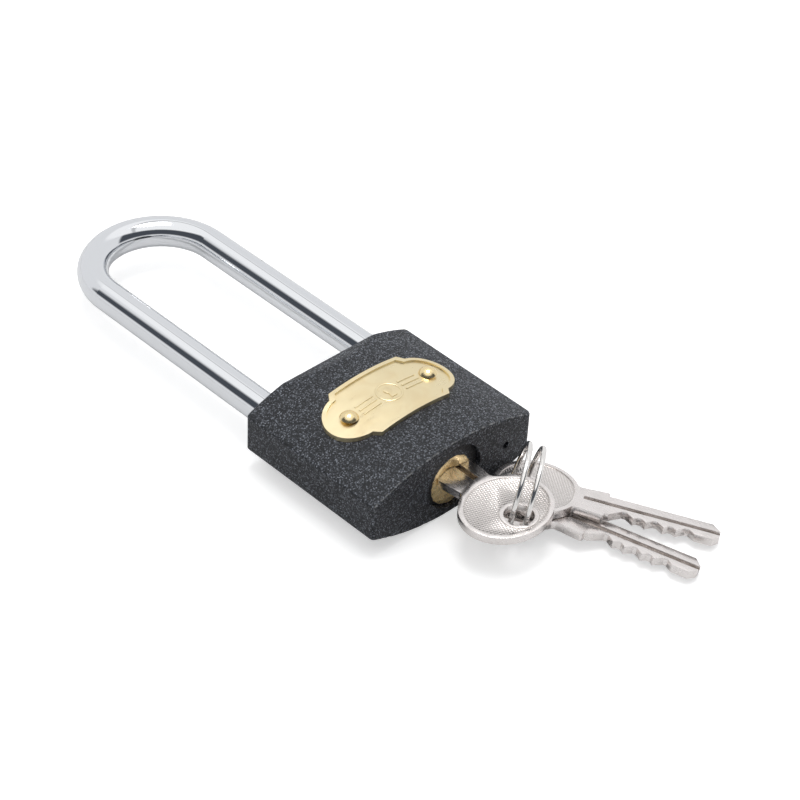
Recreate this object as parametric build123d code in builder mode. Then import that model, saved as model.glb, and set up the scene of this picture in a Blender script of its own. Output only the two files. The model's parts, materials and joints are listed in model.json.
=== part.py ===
"""Cast iron padlock with a long shackle, three keys and a split ring.

The lock lies on its back: +X across its width, +Y towards the shackle's bow,
+Z out of its front. The origin is the middle of the flat on its back.
"""
from math import asin, cos, radians, sin, sqrt
import os

from build123d import *

os.makedirs("parts", exist_ok=True)

# ---------------------------------------------------------------- sizes, mm
# body casting
body_width = 50.0
body_height = 42.2
edge_thickness = 9.5          # thickness at the two side faces
crown_rise = 5.5              # how far each domed face rises above the sides
back_flat_width = 6.0         # ground strip along the crown of the back
corner_radius = 1.0
heel_corner_radius = 2.0      # at the keyhole end, on the heel's side
edge_radius = 0.6
bevel_drop = 1.9              # flats ground on both faces at the shackle end
bevel_run = 4.2

# shackle
rod_diameter = 7.8
leg_spacing = 33.0
shackle_opening = 73.4        # body to the inside of the bow
shackle_clearance = 0.1       # radial, legs in their holes
heel_pin_depth = 14.6         # retaining pin below the body's shackle end
heel_pin_diameter = 2.0
heel_neck_diameter = 5.4
heel_foot = 1.7               # collar left below the neck
heel_floor = 1.9              # iron left below the heel's hole
weep_hole_diameter = 1.9
toe_tip_length = 2.8          # rod left below the notch
toe_hole_gap = 0.6            # hole left below the toe's tip
toe_swing_gap = 0.5           # toe's tip above the body when the shackle is up
end_chamfer = 0.8             # on both ends of the rod
neck_play = 0.3               # above the retaining pin
neck_end_gap = 0.4            # below it when the shackle is up
neck_clearance = 0.1          # radial, neck to the pin's end
heel_spring_wire = 0.6
heel_spring_turns = 4

# cylinder
recess_depth = 1.05
shell_diameter = 16.2
plug_tail = 3.3               # plug left behind the shell
shell_clearance = 0.1
plug_diameter = 11.0
plug_flange_width = 0.35       # beyond the plug's own radius
plug_flange_length = 1.2
plug_clearance = 0.05
dish_diameter = 8.4
dish_depth = 1.2
plug_web = 1.6                # brass left behind the keyway
keyway_end_gap = 0.3          # past the key's tip
clip_thickness = 1.0
clip_clearance = 0.05
clip_inset = 0.9              # its rim inside the shell's outer surface
clip_groove_depth = 0.8
clip_gap = 60.0               # degrees left open in the clip
tenon_side = 4.4
cylinder_pin_diameter = 3.0
cylinder_pin_inset = 3.85     # its axis from the shell's rear
cylinder_pin_bite = 1.4       # how deep that pin enters the brass
cylinder_pin_sink = 0.6       # its head below the crown

# pin stacks
pin_count = 5
pin_pitch = 3.6
first_pin = 4.2               # from the plug's face
pin_diameter = 2.8
chamber_diameter = 3.0
pin_gap = 0.05                # at each end of a pin
driver_length = 4.0
driver_chamfer = 0.2
chamber_plug_length = 8.5
pin_spring_wire = 0.35
pin_spring_turns = 7
coil_inset = 0.4              # middle of a spring's wire to its hole's wall

# bolt and its drive
bolt_diameter = 7.0
bolt_clearance = 0.1
bolt_bore_gap = 0.3           # cylinder's bore to the bolt's
bolt_bore_wall = 1.0          # iron left before the heel's hole
bolt_travel = 5.0
bolt_bite = 1.2               # how far its nose enters the toe's notch
bolt_length = 17.8
nose_height = 4.4
nose_length = 3.2
nose_chamfer = 0.8
notch_chamfer = 0.7
notch_clearance = 0.15
crank_pin_diameter = 2.0
crank_slot_clearance = 0.17
crank_reach = 0.6             # crank pin's tip short of the bolt's axis
crank_end_gap = 0.3
crank_slot_gap = 0.2          # slot beyond the crank pin's side and tip
cam_diameter = 10.9
cam_thickness = 1.6
cam_clearance = 0.15
bolt_spring_hole = 3.8
bolt_spring_hole_depth = 4.5
bolt_spring_wire = 0.4
bolt_spring_turns = 9

# badge
badge_rect_width = 21.0
badge_height = 17.6
badge_lobe_radius = 7.2
badge_width = 36.0
badge_step = 1.2
badge_thickness = 0.7
badge_rim_height = 0.4
badge_rim_width = 1.0
badge_centre_y = 0.7
rivet_spacing = 24.6
rivet_head_diameter = 4.4
rivet_head_height = 1.3
rivet_shank_diameter = 2.4
rivet_shank_length = 3.2
rivet_hole_gap = 0.2          # hole left below the shank
rivet_head_gap = 0.02

# keys
key_thickness = 1.9
bow_thickness = 2.0
bow_width = 23.0
bow_length = 19.8
neck_length = 6.5
neck_width = 10.8
neck_root_width = 8.8
neck_overlap = 2.0            # neck's taper carried into the bow
blade_length = 26.0
blade_width = 8.0
ear_radius = 0.6              # neck's corners beside the blade
throat_radius = 1.4           # neck into bow
tip_spine = (2.0, 2.6)        # run and drop of the tip's chamfer on the spine's side
tip_cut = (1.4, 1.8)          # the same on the cuts' side
tip_low = 2.7                 # lowest point of the tip, below the blade's middle
key_offset = 0.8              # blade's middle from the plug's axis
key_hole_diameter = 6.9
key_hole_edge = 6.0           # hole's centre from the bow's end
bow_rim = 1.1
bow_recess = 0.2
hole_rim = 0.95
cut_widths = (2.8, 1.8, 2.3, 1.8, 2.8)   # blade removed at each cut
cut_flat = 0.9
groove_depth = 0.5
groove_start_gap = 1.0        # groove begins this far from the bow
front_groove = (-0.2, 1.2)    # across the blade, from its middle
back_groove = (0.7, 2.1)
keyway_clearance = 0.12

# split ring and the two loose keys
ring_wire = 1.3
ring_radius = 9.9
ring_pitch = 3.2
ring_turns = 2
ring_from_hole = (6.46, 5.31, 1.456)
ring_azimuth = 124.0
ring_elevation = 11.9
ring_start = 31.8
# Each loose key lies on one side of the gap between the two. Its place is the middle of its
# hole's rim on that side, from the middle of the inserted key's hole; then the side, and the
# key's yaw, pitch and roll in degrees.
loose_keys = {
    "key_2": ((11.949, 11.107, -5.538), 1, (-58.7, 4.6, -12.2)),
    "key_3": ((9.661, 11.474, -5.302), -1, (-71.7, 2.4, -13.3)),
}

past = 1.0                    # how far a cut runs beyond the face that it opens

# ------------------------------------------------------------ derived places
half_width = body_width / 2
dome_radius = (half_width**2 + crown_rise**2) / (2 * crown_rise)
flat_drop = dome_radius - sqrt(dome_radius**2 - (back_flat_width / 2) ** 2)
mid_z = edge_thickness / 2 + crown_rise - flat_drop
crown_z = mid_z + edge_thickness / 2 + crown_rise
dome_centre_z = crown_z - dome_radius
end_y = -body_height / 2      # keyhole end
top_y = body_height / 2       # shackle end

rod_radius = rod_diameter / 2
leg_x = leg_spacing / 2
bow_centre_y = top_y + shackle_opening - (leg_x - rod_radius)
leg_hole_radius = rod_radius + shackle_clearance

plug_face_y = end_y + recess_depth
plug_radius = plug_diameter / 2
plug_bore_radius = plug_radius + plug_clearance
plug_flange_radius = plug_radius + plug_flange_width
clip_groove_radius = plug_radius - clip_groove_depth
keyway_end_y = plug_face_y + blade_length + keyway_end_gap
plug_rear_y = keyway_end_y + plug_web
shell_radius = shell_diameter / 2
clip_radius = shell_radius - clip_inset
shell_bore_radius = shell_radius + shell_clearance
shell_rear_y = plug_rear_y - plug_tail
clip_y = shell_rear_y + 2 * clip_clearance
cylinder_pin_y = shell_rear_y - cylinder_pin_inset
cylinder_bore_end_y = plug_rear_y + cam_thickness + cam_clearance
bolt_hole_radius = bolt_diameter / 2 + bolt_clearance
bolt_y = cylinder_bore_end_y + bolt_bore_gap + bolt_hole_radius

crank_radius = bolt_travel / sqrt(2)
crank_offset = bolt_travel / 2
crank_tip_y = bolt_y - crank_reach
notch_face_x = -leg_x + rod_radius
nose_low_y = bolt_y - nose_height / 2
lift_ratio_span = (top_y - nose_low_y + toe_tip_length + toe_swing_gap
                   - nose_chamfer - notch_chamfer + notch_clearance)
shackle_lift = lift_ratio_span / (1 - bolt_bite / bolt_travel)
notch_play = (shackle_lift * bolt_bite / bolt_travel
              - nose_chamfer - notch_chamfer + notch_clearance)
ledge_y = nose_low_y - notch_play
toe_tip_y = ledge_y - toe_tip_length
heel_pin_y = top_y - heel_pin_depth
neck_low_y = heel_pin_y - heel_pin_diameter / 2 - shackle_lift - neck_end_gap
neck_high_y = heel_pin_y + heel_pin_diameter / 2 + neck_play
heel_end_y = neck_low_y - heel_foot
heel_hole_end_y = end_y + heel_floor
cylinder_pin_low_z = mid_z + shell_radius - cylinder_pin_bite
bolt_bore_end_x = leg_x - leg_hole_radius - bolt_bore_wall
rivet_x = rivet_spacing / 2

pin_ys = [plug_face_y + first_pin + i * pin_pitch for i in range(pin_count)]
shear_x = -sqrt((plug_radius - pin_gap) ** 2 - (pin_diameter / 2) ** 2)
driver_x = -plug_radius - pin_gap
spring_x = driver_x - driver_length
chamber_plug_x = -half_width + chamber_plug_length


def finish(part, name):
    """Label a finished piece and write it."""
    part.label = name
    export_step(part, f"parts/{name}.step")


def rod(radius, y_from, y_to, x=0.0, z=mid_z):
    """A round bar along Y."""
    with BuildPart() as bar:
        with BuildSketch(Plane.XZ.offset(-y_from)):
            with Locations((x, z)):
                Circle(radius)
        extrude(amount=-(y_to - y_from))
    return bar.part


def cross_rod(radius, x_from, x_to, y, z=mid_z):
    """A round bar along X."""
    with BuildPart() as bar:
        with BuildSketch(Plane.YZ.offset(x_from)):
            with Locations((y, z)):
                Circle(radius)
        extrude(amount=x_to - x_from)
    return bar.part


def upright_rod(radius, x, y, z_from, z_to):
    """A round bar along Z."""
    with BuildPart() as bar:
        with BuildSketch(Plane.XY.offset(z_from)):
            with Locations((x, y)):
                Circle(radius)
        extrude(amount=z_to - z_from)
    return bar.part


def coil(wire, coil_radius, height, turns):
    """A wire helix that rises along Z from the origin."""
    with BuildPart() as winding:
        with BuildLine() as path:
            Helix(pitch=height / turns, height=height, radius=coil_radius)
        with BuildSketch(Plane(origin=path.line @ 0, z_dir=path.line % 0)):
            Circle(wire / 2)
        sweep(path=path.line, is_frenet=True)
    return winding.part


def spring(wire, coil_radius, plane, length, turns):
    """A coil spring from a plane, along its normal, with room for the wire at both ends."""
    end_room = 0.6 * wire
    winding = coil(wire, coil_radius, length - 2 * end_room, turns)
    return plane.offset(end_room).location * winding


# ------------------------------------------------------------------ casting
with BuildPart() as lock_body:
    with BuildSketch(Plane.XZ.offset(top_y)) as section:
        with Locations((0, mid_z)):
            Rectangle(body_width, edge_thickness + 2 * crown_rise)
        with Locations((0, dome_centre_z)):
            Circle(dome_radius, mode=Mode.INTERSECT)
        with Locations((0, 2 * mid_z - dome_centre_z)):
            Circle(dome_radius, mode=Mode.INTERSECT)
        with Locations((0, crown_z / 2)):
            Rectangle(body_width, crown_z, mode=Mode.INTERSECT)
    extrude(amount=-body_height)
    fillet(lock_body.edges().filter_by(Axis.Z).group_by(Axis.Y)[0].sort_by(Axis.X)[-1],
           heel_corner_radius)
    other_corners = [edge for edge in lock_body.edges().filter_by(Axis.Z)
                     if abs(abs(edge.center().X) - half_width) < 0.01
                     and abs(abs(edge.center().Y) - body_height / 2) < 0.01]
    fillet(other_corners, corner_radius)
    for side in (1, -1):
        edge_z = mid_z + side * (edge_thickness / 2 + crown_rise)
        with BuildSketch(Plane.YZ.offset(-half_width)):
            with BuildLine():
                Polyline((top_y - bevel_run, edge_z), (top_y + past, edge_z),
                         (top_y + past, edge_z - side * bevel_drop * (1 + past / bevel_run)),
                         close=True)
            make_face()
        extrude(amount=body_width, mode=Mode.SUBTRACT)
    rim_edges = (lock_body.faces().sort_by(Axis.Y)[0].edges()
                 + lock_body.faces().sort_by(Axis.Y)[-1].edges())
    fillet(rim_edges, edge_radius)
    add(rod(shell_bore_radius, end_y - past, cylinder_bore_end_y), mode=Mode.SUBTRACT)
    add(rod(cam_diameter / 2 + cam_clearance, cylinder_bore_end_y - past,
            crank_tip_y + crank_end_gap), mode=Mode.SUBTRACT)
    add(rod(leg_hole_radius, toe_tip_y - toe_hole_gap, top_y + past, -leg_x),
        mode=Mode.SUBTRACT)
    add(rod(leg_hole_radius, heel_hole_end_y, top_y + past, leg_x), mode=Mode.SUBTRACT)
    add(rod(weep_hole_diameter / 2, end_y - past, heel_hole_end_y + past, leg_x),
        mode=Mode.SUBTRACT)
    add(cross_rod(bolt_hole_radius, -half_width - past, bolt_bore_end_x, bolt_y),
        mode=Mode.SUBTRACT)
    for pin_y in pin_ys:
        add(cross_rod(chamber_diameter / 2, -half_width - past, -plug_radius, pin_y),
            mode=Mode.SUBTRACT)
    add(cross_rod(heel_pin_diameter / 2, leg_x + heel_neck_diameter / 2, half_width + past,
                  heel_pin_y), mode=Mode.SUBTRACT)
    add(upright_rod(cylinder_pin_diameter / 2, 0, cylinder_pin_y, cylinder_pin_low_z,
                    crown_z + past), mode=Mode.SUBTRACT)
    rivet_floor_z = dome_centre_z + sqrt(dome_radius**2 - rivet_x**2) - rivet_shank_length
    for side in (1, -1):
        add(upright_rod(rivet_shank_diameter / 2, side * rivet_x, badge_centre_y,
                        rivet_floor_z, crown_z + past), mode=Mode.SUBTRACT)
finish(lock_body.part, "lock_body")

# ------------------------------------------------------------------ shackle
with BuildPart() as shackle:
    with BuildLine() as shackle_path:
        Line((-leg_x, toe_tip_y, mid_z), (-leg_x, bow_centre_y, mid_z))
        ThreePointArc((-leg_x, bow_centre_y, mid_z), (0, bow_centre_y + leg_x, mid_z),
                      (leg_x, bow_centre_y, mid_z))
        Line((leg_x, bow_centre_y, mid_z), (leg_x, heel_end_y, mid_z))
    with BuildSketch(Plane.XZ.offset(-toe_tip_y)):
        with Locations((-leg_x, mid_z)):
            Circle(rod_radius)
    sweep(path=shackle_path.line)
    chamfer(shackle.faces().filter_by(Axis.Y).edges(), end_chamfer)
    with BuildSketch(Plane.XY.offset(mid_z)):
        with BuildLine():
            notch_x = notch_face_x - bolt_bite - notch_clearance
            notch_top_y = bolt_y + nose_height / 2 + notch_clearance
            Polyline((notch_x, ledge_y), (notch_face_x - notch_chamfer, ledge_y),
                     (notch_face_x + past, ledge_y - notch_chamfer - past),
                     (notch_face_x + past, notch_top_y), (notch_x, notch_top_y), close=True)
        make_face()
    extrude(amount=rod_diameter, both=True, mode=Mode.SUBTRACT)
    with BuildSketch(Plane.XZ.offset(-neck_low_y)):
        with Locations((leg_x, mid_z)):
            Circle(rod_radius + past)
            Circle(heel_neck_diameter / 2 - neck_clearance, mode=Mode.SUBTRACT)
    extrude(amount=-(neck_high_y - neck_low_y), mode=Mode.SUBTRACT)
finish(shackle.part, "shackle")

with BuildPart() as shackle_pin:
    add(cross_rod(heel_pin_diameter / 2, leg_x + heel_neck_diameter / 2, half_width,
                  heel_pin_y))
finish(shackle_pin.part, "shackle_pin")

with BuildPart() as shackle_spring:
    hole_floor = Plane(origin=(leg_x, heel_hole_end_y, mid_z), z_dir=(0, 1, 0))
    add(spring(heel_spring_wire, rod_radius - heel_spring_wire, hole_floor,
               heel_end_y - heel_hole_end_y, heel_spring_turns))
finish(shackle_spring.part, "shackle_spring")

# ----------------------------------------------------------- brass cylinder
with BuildPart() as cylinder_shell:
    add(rod(shell_radius, plug_face_y, shell_rear_y))
    add(rod(plug_bore_radius, plug_face_y - past, shell_rear_y + past), mode=Mode.SUBTRACT)
    add(rod(plug_flange_radius + plug_clearance, plug_face_y - past,
            plug_face_y + plug_flange_length + plug_clearance), mode=Mode.SUBTRACT)
    for pin_y in pin_ys:
        add(cross_rod(chamber_diameter / 2, -shell_radius - past, 0, pin_y),
            mode=Mode.SUBTRACT)
    add(upright_rod(cylinder_pin_diameter / 2, 0, cylinder_pin_y, cylinder_pin_low_z,
                    crown_z), mode=Mode.SUBTRACT)
finish(cylinder_shell.part, "cylinder_shell")

with BuildPart() as cylinder_pin:
    add(upright_rod(cylinder_pin_diameter / 2, 0, cylinder_pin_y, cylinder_pin_low_z,
                    crown_z - cylinder_pin_sink))
finish(cylinder_pin.part, "cylinder_pin")

with BuildPart() as plug:
    add(rod(plug_radius, plug_face_y, plug_rear_y))
    add(rod(plug_flange_radius, plug_face_y, plug_face_y + plug_flange_length))
    with BuildSketch(Plane.XZ.offset(-plug_rear_y)):
        with Locations((0, mid_z)):
            Rectangle(tenon_side, tenon_side)
    extrude(amount=-cam_thickness)
    with BuildSketch(Plane.XZ.offset(-plug_face_y)) as keyway:
        slot_height = key_thickness + 2 * keyway_clearance
        slot_width = blade_width + 2 * keyway_clearance
        ward_height = groove_depth - keyway_clearance
        with Locations((key_offset, mid_z)):
            Rectangle(slot_width, slot_height)
        # the inserted key lies with its front face down
        for (low, high), side in ((front_groove, -1), (back_groove, 1)):
            ward_z = mid_z + side * (slot_height - ward_height) / 2
            ward_width = high - low - 2 * keyway_clearance
            with Locations((key_offset + (low + high) / 2, ward_z)):
                Rectangle(ward_width, ward_height, mode=Mode.SUBTRACT)
    extrude(amount=-(keyway_end_y - plug_face_y), mode=Mode.SUBTRACT)
    with BuildSketch(Plane.XY.offset(mid_z)):
        with BuildLine():
            Polyline((0, plug_face_y), (dish_diameter / 2, plug_face_y),
                     (0, plug_face_y + dish_depth), close=True)
        make_face()
    revolve(axis=Axis((0, 0, mid_z), (0, 1, 0)), mode=Mode.SUBTRACT)
    with BuildSketch(Plane.XZ.offset(-clip_y)):
        with Locations((0, mid_z)):
            Circle(plug_radius + past)
            Circle(clip_groove_radius, mode=Mode.SUBTRACT)
    extrude(amount=-(clip_thickness + 2 * clip_clearance), mode=Mode.SUBTRACT)
    for pin_y in pin_ys:
        add(cross_rod(chamber_diameter / 2, -plug_radius - past, key_offset, pin_y),
            mode=Mode.SUBTRACT)
finish(plug.part, "plug")

with BuildPart() as plug_clip:
    clip_reach = 2 * clip_radius
    with BuildSketch(Plane.XZ.offset(-clip_y - clip_clearance)):
        with Locations((0, mid_z)):
            Circle(clip_radius)
            Circle(clip_groove_radius + clip_clearance, mode=Mode.SUBTRACT)
        with BuildLine():
            spread = radians(clip_gap / 2)
            Polyline((0, mid_z), (clip_reach * cos(spread), mid_z + clip_reach * sin(spread)),
                     (clip_reach * cos(spread), mid_z - clip_reach * sin(spread)), close=True)
        make_face(mode=Mode.SUBTRACT)
    extrude(amount=-clip_thickness)
finish(plug_clip.part, "plug_clip")

with BuildPart() as drive_cam:
    add(rod(cam_diameter / 2, plug_rear_y, plug_rear_y + cam_thickness))
    with BuildSketch(Plane.XZ.offset(-plug_rear_y)):
        with Locations((0, mid_z)):
            Rectangle(tenon_side, tenon_side)
    extrude(amount=-cam_thickness, mode=Mode.SUBTRACT)
    add(rod(crank_pin_diameter / 2, plug_rear_y + cam_thickness, crank_tip_y,
            -crank_offset, mid_z - crank_offset))
finish(drive_cam.part, "drive_cam")

# ---------------------------------------------------------------- pin stacks
cut_xs = [key_offset - blade_width / 2 + cut for cut in cut_widths]
with BuildPart() as key_pins:
    for pin_y, cut_x in zip(pin_ys, cut_xs):
        tip_x = cut_x - pin_gap
        cone = pin_diameter / 2 - cut_flat / 2 + pin_gap
        with BuildSketch(Plane.XY.offset(mid_z)):
            with BuildLine():
                Polyline((shear_x, pin_y), (shear_x, pin_y + pin_diameter / 2),
                         (tip_x - cone, pin_y + pin_diameter / 2),
                         (tip_x, pin_y + pin_diameter / 2 - cone), (tip_x, pin_y), close=True)
            make_face()
        revolve(axis=Axis((0, pin_y, mid_z), (1, 0, 0)))
finish(key_pins.part, "key_pins")

with BuildPart() as driver_pins:
    for pin_y in pin_ys:
        add(cross_rod(pin_diameter / 2, spring_x, driver_x, pin_y))
    chamfer(driver_pins.edges().filter_by(GeomType.CIRCLE), driver_chamfer)
finish(driver_pins.part, "driver_pins")

with BuildPart() as pin_springs:
    for pin_y in pin_ys:
        chamber_end = Plane(origin=(chamber_plug_x, pin_y, mid_z), z_dir=(1, 0, 0))
        add(spring(pin_spring_wire, chamber_diameter / 2 - coil_inset, chamber_end,
                   spring_x - chamber_plug_x, pin_spring_turns))
finish(pin_springs.part, "pin_springs")

with BuildPart() as chamber_plugs:
    for pin_y in pin_ys:
        add(cross_rod(chamber_diameter / 2, -half_width, chamber_plug_x, pin_y))
finish(chamber_plugs.part, "chamber_plugs")

# --------------------------------------------------------------------- bolt
bolt_tip_x = notch_face_x - bolt_bite
bolt_rear_x = bolt_tip_x + bolt_length
spring_seat_x = bolt_rear_x - bolt_spring_hole_depth
with BuildPart() as bolt:
    add(cross_rod(bolt_diameter / 2, bolt_tip_x, bolt_rear_x, bolt_y))
    with BuildSketch(Plane.XY.offset(mid_z)):
        for side in (1, -1):
            flat_y = bolt_y + side * nose_height / 2
            outer_y = bolt_y + side * bolt_diameter
            with BuildLine():
                Polyline((bolt_tip_x, flat_y - side * nose_chamfer),
                         (bolt_tip_x + nose_chamfer, flat_y), (bolt_tip_x + nose_length, flat_y),
                         (bolt_tip_x + nose_length, outer_y), (bolt_tip_x - past, outer_y),
                         (bolt_tip_x - past, flat_y - side * nose_chamfer), close=True)
            make_face()
    extrude(amount=bolt_diameter, both=True, mode=Mode.SUBTRACT)
    add(cross_rod(bolt_spring_hole / 2, spring_seat_x, bolt_rear_x + past, bolt_y),
        mode=Mode.SUBTRACT)
    slot_width = crank_pin_diameter + 2 * crank_slot_clearance
    slot_top_z = mid_z - crank_offset + crank_pin_diameter / 2 + crank_slot_gap
    with BuildSketch(Plane.XY.offset(slot_top_z)):
        with Locations((-crank_offset, crank_tip_y + crank_slot_gap)):
            Rectangle(slot_width, bolt_diameter, align=(Align.CENTER, Align.MAX))
    extrude(amount=-bolt_diameter, mode=Mode.SUBTRACT)
finish(bolt.part, "bolt")

with BuildPart() as bolt_spring:
    spring_seat = Plane(origin=(spring_seat_x, bolt_y, mid_z), z_dir=(1, 0, 0))
    add(spring(bolt_spring_wire, bolt_spring_hole / 2 - coil_inset, spring_seat,
               bolt_bore_end_x - spring_seat_x, bolt_spring_turns))
finish(bolt_spring.part, "bolt_spring")

with BuildPart() as bolt_bore_plug:
    add(cross_rod(bolt_hole_radius, -half_width, -leg_x - leg_hole_radius, bolt_y))
finish(bolt_bore_plug.part, "bolt_bore_plug")

# -------------------------------------------------------------------- badge
def badge_outline(inset=0.0):
    """Rectangle with stepped corners and a round lobe at each end."""
    half_rect = badge_rect_width / 2 - inset
    half_high = badge_height / 2 - inset
    lobe = badge_lobe_radius - inset
    lobe_x = badge_width / 2 - badge_lobe_radius
    with BuildSketch(mode=Mode.PRIVATE) as outline:
        with BuildLine():
            Polyline((half_rect, half_high), (-half_rect, half_high),
                     (-half_rect - badge_step, lobe), (-half_rect - badge_step, -lobe),
                     (-half_rect, -half_high), (half_rect, -half_high),
                     (half_rect + badge_step, -lobe), (half_rect + badge_step, lobe),
                     close=True)
        make_face()
        SlotCenterToCenter(2 * lobe_x, 2 * lobe)
    return outline.sketch


def dome_layer(low, high):
    """A sheet between two heights above the front dome."""
    with BuildPart() as layer:
        with BuildSketch(Plane.XZ.offset(half_width)):
            with Locations((0, dome_centre_z)):
                Circle(dome_radius + high)
                Circle(dome_radius + low, mode=Mode.SUBTRACT)
            with Locations((0, crown_z)):
                Rectangle(body_width, 4 * crown_rise, mode=Mode.INTERSECT)
        extrude(amount=-body_width)
    return layer.part


def badge_layer(height, rim_width=None):
    """The badge's outline, or only its rim, from the front dome up to a height above it."""
    with BuildPart() as layer:
        with BuildSketch(Plane.XY.offset(mid_z)):
            with Locations((0, badge_centre_y)):
                add(badge_outline())
                if rim_width:
                    add(badge_outline(rim_width), mode=Mode.SUBTRACT)
        extrude(amount=body_width)
        add(dome_layer(0, height), mode=Mode.INTERSECT)
    return layer.part


with BuildPart() as badge_plate:
    add(badge_layer(badge_thickness))
    add(badge_layer(badge_thickness + badge_rim_height, badge_rim_width))
    for side in (1, -1):
        add(upright_rod(rivet_shank_diameter / 2, side * rivet_x, badge_centre_y,
                        mid_z, crown_z + badge_thickness + past), mode=Mode.SUBTRACT)
finish(badge_plate.part, "badge_plate")


def make_rivet(seat_z, head_base_z):
    """A round-headed rivet on the Z axis: the dome at its seat, and the base of its head."""
    head_radius = rivet_head_diameter / 2
    cap_radius = (head_radius**2 + rivet_head_height**2) / (2 * rivet_head_height)
    cap_top_z = head_base_z + rivet_head_height
    midway = asin(head_radius / cap_radius) / 2
    with BuildPart() as rivet:
        with BuildSketch(Plane.XZ):
            with BuildLine():
                Line((0, head_base_z), (head_radius, head_base_z))
                ThreePointArc((head_radius, head_base_z),
                              (cap_radius * sin(midway), cap_top_z - cap_radius * (1 - cos(midway))),
                              (0, cap_top_z))
                Line((0, cap_top_z), (0, head_base_z))
            make_face()
        revolve(axis=Axis.Z)
        shank_low_z = seat_z - badge_thickness - rivet_shank_length + rivet_hole_gap
        add(upright_rod(rivet_shank_diameter / 2, 0, 0, shank_low_z, head_base_z))
    return rivet.part


rivet_seat_z = dome_centre_z + sqrt((dome_radius + badge_thickness) ** 2 - rivet_x**2)
rivet_slope = sin(rivet_x / (dome_radius + badge_thickness))
rivet_head_base_z = rivet_seat_z + rivet_slope * rivet_head_diameter / 2 + rivet_head_gap
with BuildPart() as badge_rivets:
    with Locations((-rivet_x, badge_centre_y), (rivet_x, badge_centre_y)):
        add(make_rivet(rivet_seat_z, rivet_head_base_z))
finish(badge_rivets.part, "badge_rivets")

# --------------------------------------------------------------------- keys
bow_centre_u = -neck_length - bow_length / 2
neck_root_u = -neck_length - neck_overlap
hole_u = bow_centre_u - bow_length / 2 + key_hole_edge
thickest_key = max(bow_thickness, key_thickness)
inserted_hole = Vector(key_offset, plug_face_y + hole_u, mid_z)


def blade_points():
    """Outline of the blade: straight spine, chamfered tip and the cuts."""
    half = blade_width / 2
    points = [(0, half), (blade_length - tip_spine[0], half),
              (blade_length, half - tip_spine[1]), (blade_length, tip_cut[1] - tip_low),
              (blade_length - tip_cut[0], -tip_low)]
    floors = [-half + cut for cut in cut_widths]
    lands = [first_pin + i * pin_pitch for i in range(pin_count)]
    last_u = lands[-1] + cut_flat / 2
    points.append((last_u + tip_low + floors[-1], -tip_low))
    for i in reversed(range(pin_count)):
        points.append((lands[i] + cut_flat / 2, floors[i]))
        points.append((lands[i] - cut_flat / 2, floors[i]))
        if i:
            run = pin_pitch - cut_flat
            fall = (run + floors[i] - floors[i - 1]) / 2
            points.append((lands[i] - cut_flat / 2 - fall, floors[i] - fall))
    points.append((lands[0] - cut_flat / 2 - half - floors[0], -half))
    points.append((0, -half))
    return points


def make_key(plane):
    """One key: its plane's X runs to the tip, Y to the spine, Z out of its front."""
    with BuildPart() as key:
        with BuildSketch(plane.offset(-bow_thickness / 2)):
            with Locations((bow_centre_u, 0)):
                Ellipse(bow_length / 2, bow_width / 2)
            with BuildLine():
                Polyline((0, neck_width / 2), (neck_root_u, neck_root_width / 2),
                         (neck_root_u, -neck_root_width / 2), (0, -neck_width / 2),
                         close=True)
            make_face()
            with Locations((hole_u, 0)):
                Circle(key_hole_diameter / 2, mode=Mode.SUBTRACT)
        extrude(amount=bow_thickness)
        upright = key.edges().filter_by(Axis(plane.origin, plane.z_dir))
        places = [(plane.to_local_coords(edge.center()), edge) for edge in upright]
        ears = [edge for place, edge in places if abs(place.X) < ear_radius / 2]
        throats = [edge for place, edge in places
                   if neck_root_u < place.X < -neck_length / 2
                   and abs(place.Y) > neck_root_width / 2 - ear_radius]
        fillet(ears, ear_radius)
        fillet(throats, throat_radius)
        with BuildSketch(plane.offset(-key_thickness / 2)):
            with BuildLine():
                Polyline(*blade_points(), close=True)
            make_face()
        extrude(amount=key_thickness)
        for face in (1, -1):
            with BuildSketch(plane.offset(face * bow_thickness / 2)):
                with Locations((bow_centre_u, 0)):
                    Ellipse(bow_length / 2 - bow_rim, bow_width / 2 - bow_rim)
                with Locations((-neck_length - bow_rim, 0)):
                    Rectangle(bow_length, bow_width, align=(Align.MAX, Align.CENTER),
                              mode=Mode.INTERSECT)
                with Locations((hole_u, 0)):
                    Circle(key_hole_diameter / 2 + hole_rim, mode=Mode.SUBTRACT)
            extrude(amount=-face * bow_recess, mode=Mode.SUBTRACT)
        for (low, high), face in ((front_groove, 1), (back_groove, -1)):
            groove_start = -neck_length + groove_start_gap
            groove_end = blade_length + past
            with BuildSketch(plane.offset(face * (key_thickness / 2 - groove_depth))):
                with Locations((groove_start, (low + high) / 2)):
                    Rectangle(groove_end - groove_start, high - low,
                              align=(Align.MIN, Align.CENTER))
            extrude(amount=face * thickest_key, mode=Mode.SUBTRACT)
    return key.part


def loose_plane(rim, side, angles):
    """The plane of a loose key, from its hole's rim on one side and its yaw, pitch and roll."""
    yaw, pitch, roll = angles
    turn = (Location(inserted_hole + Vector(*rim)) * Location((0, 0, 0), (0, 0, yaw))
            * Location((0, 0, 0), (0, pitch, 0)) * Location((0, 0, 0), (roll, 0, 0)))
    return Plane(turn * Location((-hole_u, 0, side * thickest_key / 2)))


key_planes = {"key_1": Plane(origin=(key_offset, plug_face_y, mid_z), x_dir=(0, 1, 0),
                             z_dir=(0, 0, -1))}
for key_name, (rim, side, angles) in loose_keys.items():
    key_planes[key_name] = loose_plane(rim, side, angles)
for key_name, key_plane in key_planes.items():
    finish(make_key(key_plane), key_name)

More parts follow.
